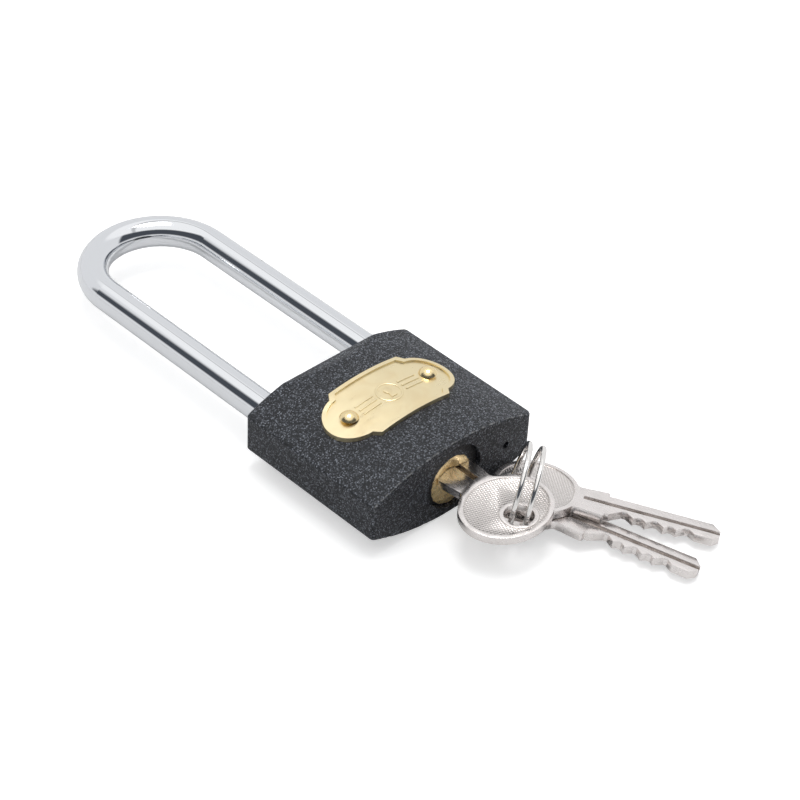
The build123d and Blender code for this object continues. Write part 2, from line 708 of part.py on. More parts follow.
# --------------------------------------------------------------- split ring
ring_up = Vector(cos(radians(ring_elevation)) * cos(radians(ring_azimuth)),
                 cos(radians(ring_elevation)) * sin(radians(ring_azimuth)),
                 sin(radians(ring_elevation)))
ring_down = (Vector(0, 0, -1) - ring_up * Vector(0, 0, -1).dot(ring_up)).normalized()
ring_first = ring_down.rotate(Axis((0, 0, 0), ring_up), ring_start)
ring_length = ring_pitch * ring_turns
ring_plane = Plane(origin=inserted_hole + Vector(*ring_from_hole) - ring_up * ring_length / 2,
                   x_dir=ring_first, z_dir=ring_up)
with BuildPart() as split_ring:
    add(ring_plane.location * coil(ring_wire, ring_radius, ring_length, ring_turns))
finish(split_ring.part, "split_ring")

print(f"shackle lifts {shackle_lift:.3f} mm, play {notch_play:.3f} mm, mid_z {mid_z:.4f}")
print(f"bolt_y {bolt_y:.3f}, toe tip {toe_tip_y:.3f}, heel end {heel_end_y:.3f}")
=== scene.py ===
import json
import math

import bpy
from mathutils import Matrix, Quaternion, Vector


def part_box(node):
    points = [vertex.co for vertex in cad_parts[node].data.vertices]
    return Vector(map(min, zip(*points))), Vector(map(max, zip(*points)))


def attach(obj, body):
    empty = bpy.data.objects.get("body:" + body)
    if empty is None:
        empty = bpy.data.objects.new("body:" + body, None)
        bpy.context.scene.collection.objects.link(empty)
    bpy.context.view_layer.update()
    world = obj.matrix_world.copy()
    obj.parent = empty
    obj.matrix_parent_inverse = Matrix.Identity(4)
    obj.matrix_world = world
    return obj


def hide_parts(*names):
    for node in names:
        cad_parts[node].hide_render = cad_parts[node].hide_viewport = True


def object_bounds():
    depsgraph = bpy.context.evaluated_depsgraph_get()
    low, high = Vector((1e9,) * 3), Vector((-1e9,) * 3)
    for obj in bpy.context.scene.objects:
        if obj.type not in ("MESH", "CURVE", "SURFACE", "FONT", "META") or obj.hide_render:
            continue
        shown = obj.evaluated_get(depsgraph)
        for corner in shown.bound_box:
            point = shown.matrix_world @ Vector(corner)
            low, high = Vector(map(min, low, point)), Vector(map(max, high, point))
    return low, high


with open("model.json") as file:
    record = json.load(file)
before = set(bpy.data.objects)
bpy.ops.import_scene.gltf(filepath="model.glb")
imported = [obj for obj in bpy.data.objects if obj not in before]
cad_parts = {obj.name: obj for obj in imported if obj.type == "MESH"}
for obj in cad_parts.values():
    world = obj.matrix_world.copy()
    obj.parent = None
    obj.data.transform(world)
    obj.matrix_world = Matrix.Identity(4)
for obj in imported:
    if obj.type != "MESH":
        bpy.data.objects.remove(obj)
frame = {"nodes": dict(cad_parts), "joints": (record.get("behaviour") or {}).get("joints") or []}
cadLow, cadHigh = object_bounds()
mm = 0.001
joints = {joint["name"]: joint for joint in frame["joints"]}
print("frame loaded:", len(frame["nodes"]), "nodes")


def deselectAll():
    bpy.ops.object.select_all(action="DESELECT")


def activate(piece):
    deselectAll()
    piece.select_set(True)
    bpy.context.view_layer.objects.active = piece


def editMesh(piece):
    activate(piece)
    bpy.ops.object.mode_set(mode="EDIT")
    bpy.ops.mesh.select_mode(type="VERT")
    bpy.ops.mesh.select_all(action="SELECT")


def leaveEdit():
    bpy.ops.object.mode_set(mode="OBJECT")


def applyModifiers(piece):
    activate(piece)
    for modifier in list(piece.modifiers):
        bpy.ops.object.modifier_apply(modifier=modifier.name)


def settle(piece, place):
    # puts the piece where it belongs and leaves its object at the origin
    piece.data.transform(place @ piece.matrix_world)
    piece.matrix_world = Matrix.Identity(4)
    piece.data.update()


def smooth(piece, degrees):
    activate(piece)
    bpy.ops.object.shade_smooth_by_angle(angle=math.radians(degrees))


weldDistance, flatAngle = 0.002 * mm, 0.6     # what the copies' clean-up joins and flattens


def refinedCopy(node, name, edgeWidth, edgeSteps=2, keepAngle=28, shadeAngle=35, broad=False):
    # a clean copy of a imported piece, its facets merged and its sharp edges rounded
    piece = frame["nodes"][node].copy()
    piece.data = piece.data.copy()
    piece.name = piece.data.name = name
    for key in list(piece.keys()):
        if key.startswith("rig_"):
            del piece[key]
    piece.parent = None
    bpy.context.scene.collection.objects.link(piece)
    piece.data.materials.clear()
    editMesh(piece)
    bpy.ops.mesh.remove_doubles(threshold=weldDistance)
    bpy.ops.mesh.dissolve_limited(angle_limit=math.radians(flatAngle), delimit={"NORMAL"})
    leaveEdit()
    if piece.data.has_custom_normals:
        bpy.ops.mesh.customdata_custom_splitnormals_clear()
    bevel = piece.modifiers.new("roundedEdges", "BEVEL")
    bevel.width = edgeWidth * mm
    bevel.segments = edgeSteps
    bevel.limit_method = "ANGLE"
    bevel.angle_limit = math.radians(keepAngle)
    bevel.use_clamp_overlap = True
    applyModifiers(piece)
    smooth(piece, shadeAngle)
    if broad:      # wide faces keep their own shading beside the rounded edges
        weighted = piece.modifiers.new("broadFacesFirst", "WEIGHTED_NORMAL")
        weighted.keep_sharp = True
        applyModifiers(piece)
    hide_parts(node)
    return piece


# shader helpers: a node with its inputs set or linked, by name or number
def addNode(tree, kind, inputs=None, **settings):
    node = tree.nodes.new(kind)
    for key, value in settings.items():
        setattr(node, key, value)
    for key, value in (inputs or {}).items():
        if isinstance(value, bpy.types.NodeSocket):
            tree.links.new(value, node.inputs[key])
        else:
            node.inputs[key].default_value = value
    return node


def mathNode(tree, operation, first, second=0.0, third=0.0, clamp=False):
    return addNode(tree, "ShaderNodeMath", {0: first, 1: second, 2: third},
                   operation=operation, use_clamp=clamp).outputs[0]


def multiply(tree, first, second):
    return mathNode(tree, "MULTIPLY", first, second)


def mapRange(tree, value, low, high, toLow=0.0, toHigh=1.0, smoothStep=False):
    inputs = {"Value": value, "From Min": low, "From Max": high, "To Min": toLow, "To Max": toHigh}
    return addNode(tree, "ShaderNodeMapRange", inputs,
                   interpolation_type="SMOOTHSTEP" if smoothStep else "LINEAR").outputs["Result"]


def mixColour(tree, factor, first, second):
    return addNode(tree, "ShaderNodeMix", {0: factor, 6: first, 7: second},
                   data_type="RGBA").outputs[2]


def mixValue(tree, factor, first, second):
    return addNode(tree, "ShaderNodeMix", {0: factor, 2: first, 3: second}).outputs[0]


def addNoise(tree, place, scale, detail=2.0):
    return addNode(tree, "ShaderNodeTexNoise", {"Vector": place, "Scale": scale, "Detail": detail})


def splitAxes(tree, vector):
    return addNode(tree, "ShaderNodeSeparateXYZ", {0: vector}).outputs


def newGroup(name, inputs, outputs):
    group = bpy.data.node_groups.new(name, "ShaderNodeTree")
    for label, kind, value in inputs:
        socket = group.interface.new_socket(name=label, in_out="INPUT", socket_type=kind)
        if value is not None:
            socket.default_value = value
    for label in outputs:
        group.interface.new_socket(name=label, in_out="OUTPUT", socket_type=valueSocket)
    entry = group.nodes.new("NodeGroupInput")
    leave = group.nodes.new("NodeGroupOutput")
    return group, entry.outputs, leave.inputs


def useGroup(tree, group, inputs):
    return addNode(tree, "ShaderNodeGroup", inputs, node_tree=group).outputs


vectorSocket, valueSocket = "NodeSocketVector", "NodeSocketFloat"

grainForm = {
    "rim": 0.85,             # distance from a grain's middle, in cells, where it ends
    "top": 0.25,             # and where its flat top starts
    "warpShare": 0.6,
    "height": 0.7,
    "driftScale": 260.0,
    "driftDetail": 5.0,
}


def buildSandGrain():
    # crystalline spatter of a textured paint: packed grains, each of its own brightness, the
    # brightest also standing in as painted glints
    group, given, out = newGroup(
        "sandGrain",
        [("Vector", vectorSocket, None), ("Grain Size", valueSocket, 0.4 * mm),
         ("Contrast", valueSocket, 3.0)],
        ["Lumps", "Salt", "Drift"])
    scale = mathNode(group, "DIVIDE", 1.0, given["Grain Size"])
    warp = addNoise(group, given["Vector"], scale)
    cells = addNode(group, "ShaderNodeTexVoronoi", {"Vector": given["Vector"], "Scale": scale})
    chance = addNode(group, "ShaderNodeTexWhiteNoise", {"Vector": cells.outputs["Position"]})
    core = mapRange(group, cells.outputs["Distance"], grainForm["rim"], grainForm["top"],
                    smoothStep=True)
    bright = mathNode(group, "POWER", chance.outputs["Value"], given["Contrast"])
    group.links.new(multiply(group, bright, core), out["Salt"])
    lumps = multiply(group, chance.outputs["Value"], core)
    lumps = mathNode(group, "MULTIPLY_ADD", warp.outputs[0], grainForm["warpShare"], lumps)
    group.links.new(multiply(group, lumps, grainForm["height"]), out["Lumps"])
    drift = addNoise(group, given["Vector"], grainForm["driftScale"], grainForm["driftDetail"])
    group.links.new(drift.outputs[0], out["Drift"])
    return group


def buildPits():
    # scattered small pits and plating pinholes
    group, given, out = newGroup(
        "pits",
        [("Vector", vectorSocket, None), ("Spacing", valueSocket, 4.0 * mm),
         ("Share", valueSocket, 0.3), ("Radius", valueSocket, 0.06)],
        ["Mask"])
    scale = mathNode(group, "DIVIDE", 1.0, given["Spacing"])
    cells = addNode(group, "ShaderNodeTexVoronoi", {"Vector": given["Vector"], "Scale": scale})
    chance = addNode(group, "ShaderNodeTexWhiteNoise", {"Vector": cells.outputs["Position"]})
    chosen = mathNode(group, "LESS_THAN", chance.outputs["Value"], given["Share"])
    size = multiply(group, given["Radius"], chance.outputs["Value"])
    size = mathNode(group, "DIVIDE", size, given["Share"])
    inside = mathNode(group, "LESS_THAN", cells.outputs["Distance"], size)
    group.links.new(multiply(group, chosen, inside), out["Mask"])
    return group


handlingForm = {"lineDetail": 4.0, "lineRoughness": 0.7, "smudgeDetail": 5.0,
                "smudgeDistortion": 0.6}


def buildHandling():
    # faint scratches and finger marks, each a value about one half
    group, given, out = newGroup(
        "handling",
        [("Vector", vectorSocket, None), ("Scratch Scale", valueSocket, 900.0),
         ("Stretch", vectorSocket, (1.0, 0.05, 1.0)), ("Smudge Scale", valueSocket, 120.0)],
        ["Scratches", "Smudges"])
    stretched = addNode(group, "ShaderNodeVectorMath",
                        {0: given["Vector"], 1: given["Stretch"]}, operation="MULTIPLY")
    lines = addNoise(group, stretched.outputs[0], given["Scratch Scale"],
                     handlingForm["lineDetail"])
    lines.inputs["Roughness"].default_value = handlingForm["lineRoughness"]
    group.links.new(lines.outputs[0], out["Scratches"])
    smudge = addNoise(group, given["Vector"], given["Smudge Scale"], handlingForm["smudgeDetail"])
    smudge.inputs["Distortion"].default_value = handlingForm["smudgeDistortion"]
    group.links.new(smudge.outputs[0], out["Smudges"])
    return group


grooveDirections = ((0.94, 0.34), (0.34, -0.94))


def buildKnurl():
    # two crossing sets of fine grooves, as rolled on a key's bow
    group, given, out = newGroup(
        "knurl", [("Vector", vectorSocket, None), ("Pitch", valueSocket, 0.6)], ["Height"])
    parts = splitAxes(group, given["Vector"])
    rate = mathNode(group, "DIVIDE", 2 * math.pi, given["Pitch"])
    heights = []
    for slantX, slantY in grooveDirections:
        across = multiply(group, parts["X"], slantX)
        across = mathNode(group, "MULTIPLY_ADD", parts["Y"], slantY, across)
        wave = mathNode(group, "SINE", multiply(group, across, rate))
        heights.append(mathNode(group, "MULTIPLY_ADD", wave, 0.5, 0.5))
    group.links.new(multiply(group, heights[0], heights[1]), out["Height"])
    return group


sandGrain, pits, handling, knurl = buildSandGrain(), buildPits(), buildHandling(), buildKnurl()
print("shader groups built")


def newMaterial(name):
    material = bpy.data.materials.new(name)
    material.use_nodes = True
    tree = material.node_tree
    shader = tree.nodes["Principled BSDF"]
    place = tree.nodes.new("ShaderNodeTexCoord").outputs["Object"]
    return material, tree, shader, place


scratchRange = (0.3, 0.7)    # the scratches' darkest and brightest value in use


def wearMarks(tree, place, settings):
    return useGroup(tree, handling, {
        "Vector": place, "Scratch Scale": settings["brush"], "Stretch": settings["stretch"],
        "Smudge Scale": settings["smudgeScale"]})


def scratchGloss(tree, marks, roughness, spread):
    # the roughness varies along the scratches, between two shares of its own value
    return mapRange(tree, marks["Scratches"], *scratchRange,
                    *(roughness * share for share in spread))


def bump(tree, shader, height, distance):
    node = addNode(tree, "ShaderNodeBump", {"Height": height, "Distance": distance})
    tree.links.new(node.outputs["Normal"], shader.inputs["Normal"])


bodyPaint = {
    "base": (0.006, 0.007, 0.009, 1.0),
    "lumpTop": (0.013, 0.015, 0.019, 1.0),
    "driftRange": (0.3, 0.7),
    # light grey of the brightest grains, which also serve as painted glints
    "speckAndGlint": (0.27, 0.29, 0.335, 1.0),
    "speckShare": 0.9,
    # light grey of bare metal where the paint is rubbed through, also used as a painted highlight
    # along the keyhole end's edge
    "wearAndHighlight": (0.34, 0.34, 0.34, 1.0),
    "grainSize": 0.33 * mm,
    "contrast": 3.0,
    "relief": 0.22 * mm,
    "roughness": 0.52,
    "speckRoughness": 0.3,
    "specular": 0.34,
    "edgeWearAndHighlight": 0.55,
    "edgeBandStart": (0.04 * mm, 0.14 * mm),     # inwards from the keyhole end
    "edgeBandEnd": (0.42 * mm, 0.22 * mm),
    "edgeBandHeight": (0.62, 0.68),              # as a share of the body's height
    "patchScale": 900.0,
    "patchDetail": 3.0,
    "patchRange": (0.42, 0.62),
}


def paintLayer(tree, place):
    # colour, gloss and height of the sandy paint, used on the body and where it laps the brass
    grain = useGroup(tree, sandGrain, {"Vector": place, "Grain Size": bodyPaint["grainSize"],
                                       "Contrast": bodyPaint["contrast"]})
    shade = mapRange(tree, grain["Drift"], *bodyPaint["driftRange"])
    colour = mixColour(tree, shade, bodyPaint["base"], bodyPaint["lumpTop"])
    # painted glint: the light grey specks stand in for sparkle on the grains' facets as well as
    # for lighter grains
    colour = mixColour(tree, multiply(tree, grain["Salt"], bodyPaint["speckShare"]), colour,
                       bodyPaint["speckAndGlint"])
    gloss = mapRange(tree, grain["Salt"], 0.0, 1.0, bodyPaint["roughness"],
                     bodyPaint["speckRoughness"])
    return colour, gloss, grain["Lumps"]


def makeBodyPaint():
    material, tree, shader, place = newMaterial("sandyBlackPaint")
    colour, gloss, height = paintLayer(tree, place)
    # the paint is rubbed through to bare metal in patches along the rounding where the front meets
    # the keyhole end, and the same light grey there is also a painted highlight of that edge
    parts = splitAxes(tree, place)
    bodyLow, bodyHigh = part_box("lock_body")
    rising, falling = (
        mapRange(tree, parts["Y"], *(bodyLow.y + inset for inset in bodyPaint[key]))
        for key in ("edgeBandStart", "edgeBandEnd"))
    upper = mapRange(tree, parts["Z"], *(bodyHigh.z * share for share in bodyPaint["edgeBandHeight"]))
    patches = addNoise(tree, place, bodyPaint["patchScale"], bodyPaint["patchDetail"])
    patchy = mapRange(tree, patches.outputs[0], *bodyPaint["patchRange"])
    edge = multiply(tree, multiply(tree, rising, falling), upper)
    wearAndHighlight = multiply(tree, multiply(tree, edge, patchy), bodyPaint["edgeWearAndHighlight"])
    colour = mixColour(tree, wearAndHighlight, colour, bodyPaint["wearAndHighlight"])
    tree.links.new(colour, shader.inputs["Base Color"])
    tree.links.new(gloss, shader.inputs["Roughness"])
    shader.inputs["Specular IOR Level"].default_value = bodyPaint["specular"]
    bump(tree, shader, height, bodyPaint["relief"])
    return material


chromePlate = {
    "colour": (0.80, 0.815, 0.84, 1.0),
    "pit": (0.03, 0.03, 0.035, 1.0),
    "roughness": 0.045,
    "smudgedRoughness": 0.11,
    "smudgeRange": (0.35, 0.75),
    "pitSpacing": 3.2 * mm,
    "pitShare": 0.22,
    "pitRadius": 0.075,
    "pitRoughness": 0.5,
    "brush": 1500.0,
    "stretch": (1.0, 0.06, 1.0),
    "smudgeScale": 70.0,
    "relief": 0.05 * mm,
    "scratchHeight": 0.012,
    "smudgeHeight": 0.05,
    "pitHeight": -0.6,
}


def makeChrome():
    material, tree, shader, place = newMaterial("pittedChrome")
    plating = chromePlate
    marks = wearMarks(tree, place, plating)
    holes = useGroup(tree, pits, {"Vector": place, "Spacing": plating["pitSpacing"],
                                  "Share": plating["pitShare"], "Radius": plating["pitRadius"]})
    tree.links.new(mixColour(tree, holes["Mask"], plating["colour"], plating["pit"]),
                   shader.inputs["Base Color"])
    gloss = mapRange(tree, marks["Smudges"], *plating["smudgeRange"], plating["roughness"],
                     plating["smudgedRoughness"])
    gloss = mathNode(tree, "MULTIPLY_ADD", holes["Mask"], plating["pitRoughness"], gloss,
                     clamp=True)
    tree.links.new(gloss, shader.inputs["Roughness"])
    shader.inputs["Metallic"].default_value = 1.0
    height = mathNode(tree, "MULTIPLY_ADD", marks["Scratches"], plating["scratchHeight"],
                      multiply(tree, marks["Smudges"], plating["smudgeHeight"]))
    height = mathNode(tree, "MULTIPLY_ADD", holes["Mask"], plating["pitHeight"], height)
    bump(tree, shader, height, plating["relief"])
    return material


brassFilm = {"tarnishRange": (0.42, 0.72), "tarnishShare": 0.5, "glossSpread": (0.8, 1.35),
             "smudgeHeight": 0.6}
badgeBrass = {"colour": (0.90, 0.775, 0.50, 1.0), "tint": (0.80, 0.64, 0.37, 1.0),
              "roughness": 0.31, "brush": 700.0, "stretch": (0.15, 1.0, 1.0),
              "smudgeScale": 160.0, "relief": 0.010 * mm}
rivetBrass = {"colour": (0.93, 0.76, 0.44, 1.0), "tint": (0.72, 0.53, 0.25, 1.0),
              "roughness": 0.22, "brush": 500.0, "stretch": (1.0, 1.0, 1.0),
              "smudgeScale": 160.0, "relief": 0.02 * mm}


def makeBrass(name, settings):
    # satin or bright brass, with a brushed grain, tarnish and small dents
    material, tree, shader, place = newMaterial(name)
    marks = wearMarks(tree, place, settings)
    tarnish = mapRange(tree, marks["Smudges"], *brassFilm["tarnishRange"], smoothStep=True)
    base = mixColour(tree, multiply(tree, tarnish, brassFilm["tarnishShare"]),
                     settings["colour"], settings["tint"])
    tree.links.new(base, shader.inputs["Base Color"])
    gloss = scratchGloss(tree, marks, settings["roughness"], brassFilm["glossSpread"])
    tree.links.new(gloss, shader.inputs["Roughness"])
    shader.inputs["Metallic"].default_value = 1.0
    height = mathNode(tree, "MULTIPLY_ADD", marks["Smudges"], brassFilm["smudgeHeight"],
                      marks["Scratches"])
    bump(tree, shader, height, settings["relief"])
    return material


plugBrass = {
    "colour": (1.0, 0.78, 0.42, 1.0),
    "tint": (0.62, 0.38, 0.14, 1.0),
    "brush": 900.0,
    "stretch": (1.0, 0.2, 1.0),
    "smudgeScale": 260.0,
    "tarnishRange": (0.5, 0.7),
    "tarnishShare": 0.35,
    "roughness": (0.2, 0.36),
    "metallic": 0.7,
    "turningPitch": 0.22 * mm,
    "turningHeight": 0.04,
    "height": 0.05,                          # as a share of the paint's relief
    "paintStep": 1.0,
    "raggedScale": 620.0,
    "raggedDetail": 4.0,
    "raggedDepth": 0.9 * mm,
    "upperPaint": 0.25,
    "paintRadius": (6.3 * mm, 6.45 * mm),
    "paintDepth": (1.4 * mm, 1.0 * mm),      # how far into the recess the paint reached
    "grooveRadius": (5.6 * mm, 6.6 * mm),
    "grooveShare": 0.9,
    # near-black of the painted shade in the gap round the plug
    "groove": (0.002, 0.002, 0.003, 1.0),
}


def makeCylinderBrass():
    # brass turned in rings, with the body's paint sprayed over all but its middle
    material, tree, shader, place = newMaterial("oversprayedBrass")
    face = plugBrass
    parts = splitAxes(tree, place)
    plugLow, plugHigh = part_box("plug")
    upright = mathNode(tree, "SUBTRACT", parts["Z"], (plugLow.z + plugHigh.z) / 2)
    square = multiply(tree, parts["X"], parts["X"])
    square = mathNode(tree, "MULTIPLY_ADD", upright, upright, square)
    radius = mathNode(tree, "SQRT", square)
    ragged = addNoise(tree, place, face["raggedScale"], face["raggedDetail"])
    edge = mathNode(tree, "MULTIPLY_ADD", ragged.outputs[0], face["raggedDepth"], radius)
    # the paint's edge lies nearer the middle on the upper side
    edge = mathNode(tree, "MULTIPLY_ADD", upright, face["upperPaint"], edge)
    painted = mapRange(tree, edge, *face["paintRadius"])
    outside = mapRange(tree, parts["Y"], *(plugLow.y + depth for depth in face["paintDepth"]))
    painted = multiply(tree, painted, outside)
    colour, gloss, height = paintLayer(tree, place)
    # painted shade: a near-black ring just outside the plug's edge stands in for the shade in the
    # gap round the plug
    groove = mapRange(tree, radius, *face["grooveRadius"], 0.0, face["grooveShare"])
    colour = mixColour(tree, groove, colour, face["groove"])
    marks = wearMarks(tree, place, face)
    tarnish = mapRange(tree, marks["Smudges"], *face["tarnishRange"], smoothStep=True)
    brass = mixColour(tree, multiply(tree, tarnish, face["tarnishShare"]), face["colour"],
                      face["tint"])
    tree.links.new(mixColour(tree, painted, brass, colour), shader.inputs["Base Color"])
    shine = mapRange(tree, marks["Scratches"], *scratchRange, *face["roughness"])
    tree.links.new(mixValue(tree, painted, shine, gloss), shader.inputs["Roughness"])
    # a dull film over the bare brass keeps some plain colour
    bare = mathNode(tree, "SUBTRACT", 1.0, painted)
    tree.links.new(multiply(tree, bare, face["metallic"]), shader.inputs["Metallic"])
    rings = mathNode(tree, "SINE", multiply(tree, radius, 2 * math.pi / face["turningPitch"]))
    turned = mathNode(tree, "MULTIPLY_ADD", rings, face["turningHeight"], marks["Scratches"])
    height = mixValue(tree, painted, multiply(tree, turned, face["height"]),
                      mathNode(tree, "ADD", height, face["paintStep"]))
    bump(tree, shader, height, bodyPaint["relief"])
    return material


# the key's plan in millimetres: along it from the shoulder, and across it from its middle
keyShape = {
    "bowCentre": -16.4,
    "bowHalfLength": 9.9,
    "bowHalfWidth": 11.5,
    "rim": 1.1,
    "neck": 6.5,
    "holeAt": -20.3,
    "holeRimRadius": 4.4,
    "edge": 0.16,
    "grooveLevel": 0.7,      # a floor nearer than this to the key's middle plane is a groove's
    "broadFace": 0.9,        # least cosine between a broad face's direction and the key's own
    "keepAngle": 30,
    "shadeAngle": 32,
}

keyNickel = {
    "colour": (0.88, 0.835, 0.815, 1.0),
    # dark colour for the painted shade of the knurl and the rim lines, and for the smudges' real
    # grime
    "shadeAndGrime": (0.42, 0.385, 0.35, 1.0),
    "grooveShade": (0.13, 0.10, 0.075, 1.0),
    "grooveShadeRange": (0.3, 0.7),
    "grooveShadeShare": (0.6, 0.95),
    "roughness": 0.25,
    "glossSpread": (0.8, 1.3),
    "brush": 800.0,
    "stretch": (1.0, 0.3, 1.0),
    "smudgeScale": 240.0,
    "knurlPitch": 0.62,
    "knurlDepth": 0.05 * mm,
    "fieldInset": 0.15,      # the knurl's gap to the rim, the neck and the ring round the hole
    "neckInset": 0.2,
    "holeInset": 0.12,
    "valleyRange": (0.35, 0.05),
    "valleyShade": 0.48,
    "smudgeRange": (0.45, 0.75),
    "smudgeShade": 0.16,
    "footAt": 0.98,          # where the rim's foot lies, the field's edge being 1
    "footFade": (0.055, 0.01),
    "collarFade": (0.24, 0.05),
    "lineShade": 0.5,
    "cutterScale": 900.0,
    "cutterHeight": 0.25,
    "scratchHeight": 0.06,
    "smudgeHeight": 0.10,
}


def makeKeyNickel():
    # reads the key's own map: x along the key from its shoulder and y across it, in units of 1 mm
    material, tree, shader, place = newMaterial("knurledNickel")
    shape, metal = keyShape, keyNickel
    flat = addNode(tree, "ShaderNodeUVMap", uv_map="keyFlat").outputs["UV"]
    # faceUp is one on the two broad faces, and the second mask is one on the floors of the two
    # grooves cut along the blade, which get a painted shade
    faceUp, grooveShade = (addNode(tree, "ShaderNodeAttribute", attribute_name=name).outputs["Fac"]
                      for name in ("faceUp", "grooveShade"))
    parts = splitAxes(tree, flat)
    lattice = useGroup(tree, knurl, {"Vector": flat, "Pitch": metal["knurlPitch"]})
    marks = wearMarks(tree, place, metal)
    # the knurl fills the sunk field of the bow: an oval, cut off straight by the neck
    inset = shape["rim"] + metal["fieldInset"]
    alongBow = mathNode(tree, "SUBTRACT", parts["X"], shape["bowCentre"])
    alongBow = mathNode(tree, "DIVIDE", alongBow, shape["bowHalfLength"] - inset)
    acrossBow = mathNode(tree, "DIVIDE", parts["Y"], shape["bowHalfWidth"] - inset)
    oval = multiply(tree, alongBow, alongBow)
    oval = mathNode(tree, "MULTIPLY_ADD", acrossBow, acrossBow, oval)
    inField = mathNode(tree, "LESS_THAN", oval, 1.0)
    beforeNeck = mathNode(tree, "LESS_THAN", parts["X"],
                          -shape["neck"] - shape["rim"] - metal["neckInset"])
    fromHole = mathNode(tree, "SUBTRACT", parts["X"], shape["holeAt"])
    fromHole = multiply(tree, fromHole, fromHole)
    fromHole = mathNode(tree, "SQRT", mathNode(tree, "MULTIPLY_ADD", parts["Y"], parts["Y"],
                                               fromHole))
    holeEdge = shape["holeRimRadius"] + metal["holeInset"]
    pastHole = mathNode(tree, "GREATER_THAN", fromHole, holeEdge)
    field = multiply(tree, multiply(tree, multiply(tree, inField, beforeNeck), pastHole), faceUp)
    # painted shade: the knurl's valleys are darkened, standing in for the shade between its ridges
    valley = multiply(tree, field, mapRange(tree, lattice["Height"], *metal["valleyRange"]))
    grime = mapRange(tree, marks["Smudges"], *metal["smudgeRange"], 0.0, metal["smudgeShade"])
    # painted shade: a dark line along the foot of the rim and of the ring round the hole, where
    # the sunk field meets them
    foot = mathNode(tree, "ABSOLUTE", mathNode(tree, "SUBTRACT", oval, metal["footAt"]))
    foot = multiply(tree, mapRange(tree, foot, *metal["footFade"]), beforeNeck)
    collar = mathNode(tree, "ABSOLUTE", mathNode(tree, "SUBTRACT", fromHole, holeEdge))
    collar = mapRange(tree, collar, *metal["collarFade"])
    line = multiply(tree, mathNode(tree, "MAXIMUM", foot, collar), faceUp)
    # the painted shade of the valleys and lines, together with the grime of the smudges
    dark = mathNode(tree, "MAXIMUM", multiply(tree, valley, metal["valleyShade"]),
                    mathNode(tree, "MULTIPLY_ADD", line, metal["lineShade"], grime))
    colour = mixColour(tree, dark, metal["colour"], metal["shadeAndGrime"])
    # painted shade and reflection: the groove floors turn dark brown, standing in for their shade
    # and the brass they mirror, varied by the smudges
    grooveShadeAmount = mapRange(tree, marks["Smudges"], *metal["grooveShadeRange"], *metal["grooveShadeShare"])
    colour = mixColour(tree, multiply(tree, grooveShade, grooveShadeAmount), colour, metal["grooveShade"])
    tree.links.new(colour, shader.inputs["Base Color"])
    gloss = scratchGloss(tree, marks, metal["roughness"], metal["glossSpread"])
    tree.links.new(gloss, shader.inputs["Roughness"])
    shader.inputs["Metallic"].default_value = 1.0
    # fine cutter marks on the edges and the cuts
    cutter = addNoise(tree, place, metal["cutterScale"])
    cutterMark = multiply(tree, mathNode(tree, "SUBTRACT", 1.0, faceUp), metal["cutterHeight"])
    height = multiply(tree, field, lattice["Height"])
    for source, share in ((cutter.outputs[0], cutterMark),
                          (marks["Scratches"], metal["scratchHeight"]),
                          (marks["Smudges"], metal["smudgeHeight"])):
        height = mathNode(tree, "MULTIPLY_ADD", source, share, height)
    bump(tree, shader, height, metal["knurlDepth"])
    return material


steelFilm = {"oilShade": 0.6, "oilRange": (0.5, 0.75), "oilShare": 0.7,
             "glossSpread": (0.75, 1.3)}
ringNickel = {"colour": (0.90, 0.88, 0.86, 1.0), "roughness": 0.13, "brush": 900.0,
              "stretch": (1.0, 1.0, 1.0), "smudgeScale": 300.0, "relief": 0.012 * mm}
boltSteel = {"colour": (0.56, 0.56, 0.57, 1.0), "roughness": 0.3, "brush": 1200.0,
             "stretch": (0.08, 1.0, 1.0), "smudgeScale": 300.0, "relief": 0.02 * mm}
springSteel = {"colour": (0.60, 0.60, 0.62, 1.0), "roughness": 0.22, "brush": 1500.0,
               "stretch": (1.0, 1.0, 1.0), "smudgeScale": 300.0, "relief": 0.01 * mm}


def makeSteel(name, settings):
    # bare metal under patches of darker oil
    material, tree, shader, place = newMaterial(name)
    marks = wearMarks(tree, place, settings)
    oiled = tuple(steelFilm["oilShade"] * channel for channel in settings["colour"][:3]) + (1.0,)
    oil = mapRange(tree, marks["Smudges"], *steelFilm["oilRange"], 0.0, steelFilm["oilShare"])
    tree.links.new(mixColour(tree, oil, settings["colour"], oiled), shader.inputs["Base Color"])
    gloss = scratchGloss(tree, marks, settings["roughness"], steelFilm["glossSpread"])
    tree.links.new(gloss, shader.inputs["Roughness"])
    shader.inputs["Metallic"].default_value = 1.0
    bump(tree, shader, marks["Scratches"], settings["relief"])
    return material


paint = makeBodyPaint()
chrome = makeChrome()
badgeMetal = makeBrass("satinBadgeBrass", badgeBrass)
rivetMetal = makeBrass("brightRivetBrass", rivetBrass)
cylinderMetal = makeCylinderBrass()
keyMetal = makeKeyNickel()
ringMetal = makeSteel("brightRingNickel", ringNickel)
boltMetal = makeSteel("machinedSteel", boltSteel)
springMetal = makeSteel("springWire", springSteel)
print("materials built")

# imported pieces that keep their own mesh
keptFinish = {
    "lock_body": paint, "chamber_plugs": paint, "bolt_bore_plug": paint, "shackle_pin": paint,
    "shackle": chrome, "badge_rivets": rivetMetal,
    "key_pins": rivetMetal, "driver_pins": rivetMetal,
    "drive_cam": boltMetal, "cylinder_pin": boltMetal, "bolt": boltMetal,
    "plug_clip": springMetal, "pin_springs": springMetal, "bolt_spring": springMetal,
    "shackle_spring": springMetal,
}
for node, material in keptFinish.items():
    mesh = frame["nodes"][node].data
    mesh.materials.clear()
    mesh.materials.append(material)

